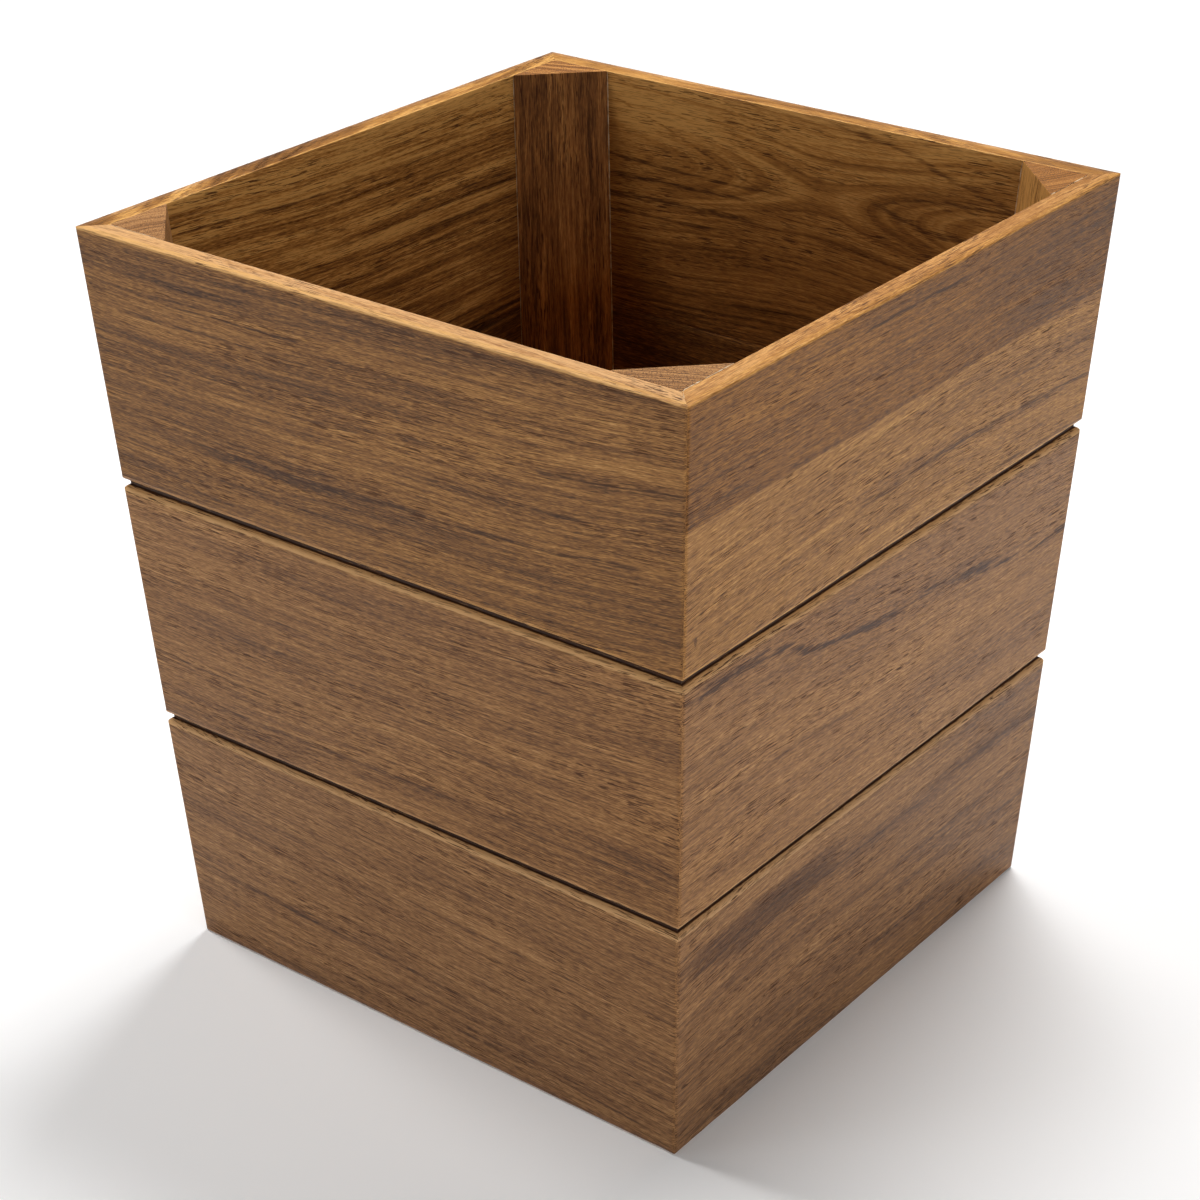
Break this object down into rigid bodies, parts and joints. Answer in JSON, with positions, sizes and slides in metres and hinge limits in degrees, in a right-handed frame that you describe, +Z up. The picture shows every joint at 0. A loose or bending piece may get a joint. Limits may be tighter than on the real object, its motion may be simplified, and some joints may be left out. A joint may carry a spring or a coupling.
{
  "type": "umbrella stand",
  "caption": "Square open-topped teak umbrella stand that widens towards the rim, with grooved tiers of mitred boards, triangular corner posts and a slatted floor.",
  "frame": {"origin": "middle of the base, on the surface that the stand rests on", "axes": "+Z up, -Y towards the front side, +X towards the right side; the box looks the same from all four sides"},
  "size_m": [0.3598, 0.3598, 0.402],
  "materials": {
    "teak_board": "oiled teak, satin",
    "teak_post": "oiled teak, satin",
    "teak_floor": "oiled teak, satin",
    "screw_steel": "brushed stainless steel"
  },
  "bodies": {
    "root": {"bottom_board_back": "teak_board", "bottom_board_front": "teak_board", "bottom_board_left": "teak_board", "bottom_board_right": "teak_board", "cleat_screws": "screw_steel", "corner_post_back_left": "teak_post", "corner_post_back_right": "teak_post", "corner_post_front_left": "teak_post", "corner_post_front_right": "teak_post", "floor_cleat_back": "teak_floor", "floor_cleat_front": "teak_floor", "floor_cleat_left": "teak_floor", "floor_cleat_right": "teak_floor", "floor_screws": "screw_steel", "floor_slat_1": "teak_floor", "floor_slat_2": "teak_floor", "floor_slat_3": "teak_floor", "floor_slat_4": "teak_floor", "floor_slat_5": "teak_floor", "floor_slat_6": "teak_floor", "floor_slat_7": "teak_floor", "middle_board_back": "teak_board", "middle_board_front": "teak_board", "middle_board_left": "teak_board", "middle_board_right": "teak_board", "top_board_back": "teak_board", "top_board_front": "teak_board", "top_board_left": "teak_board", "top_board_right": "teak_board"}
  },
  "joints": []
}
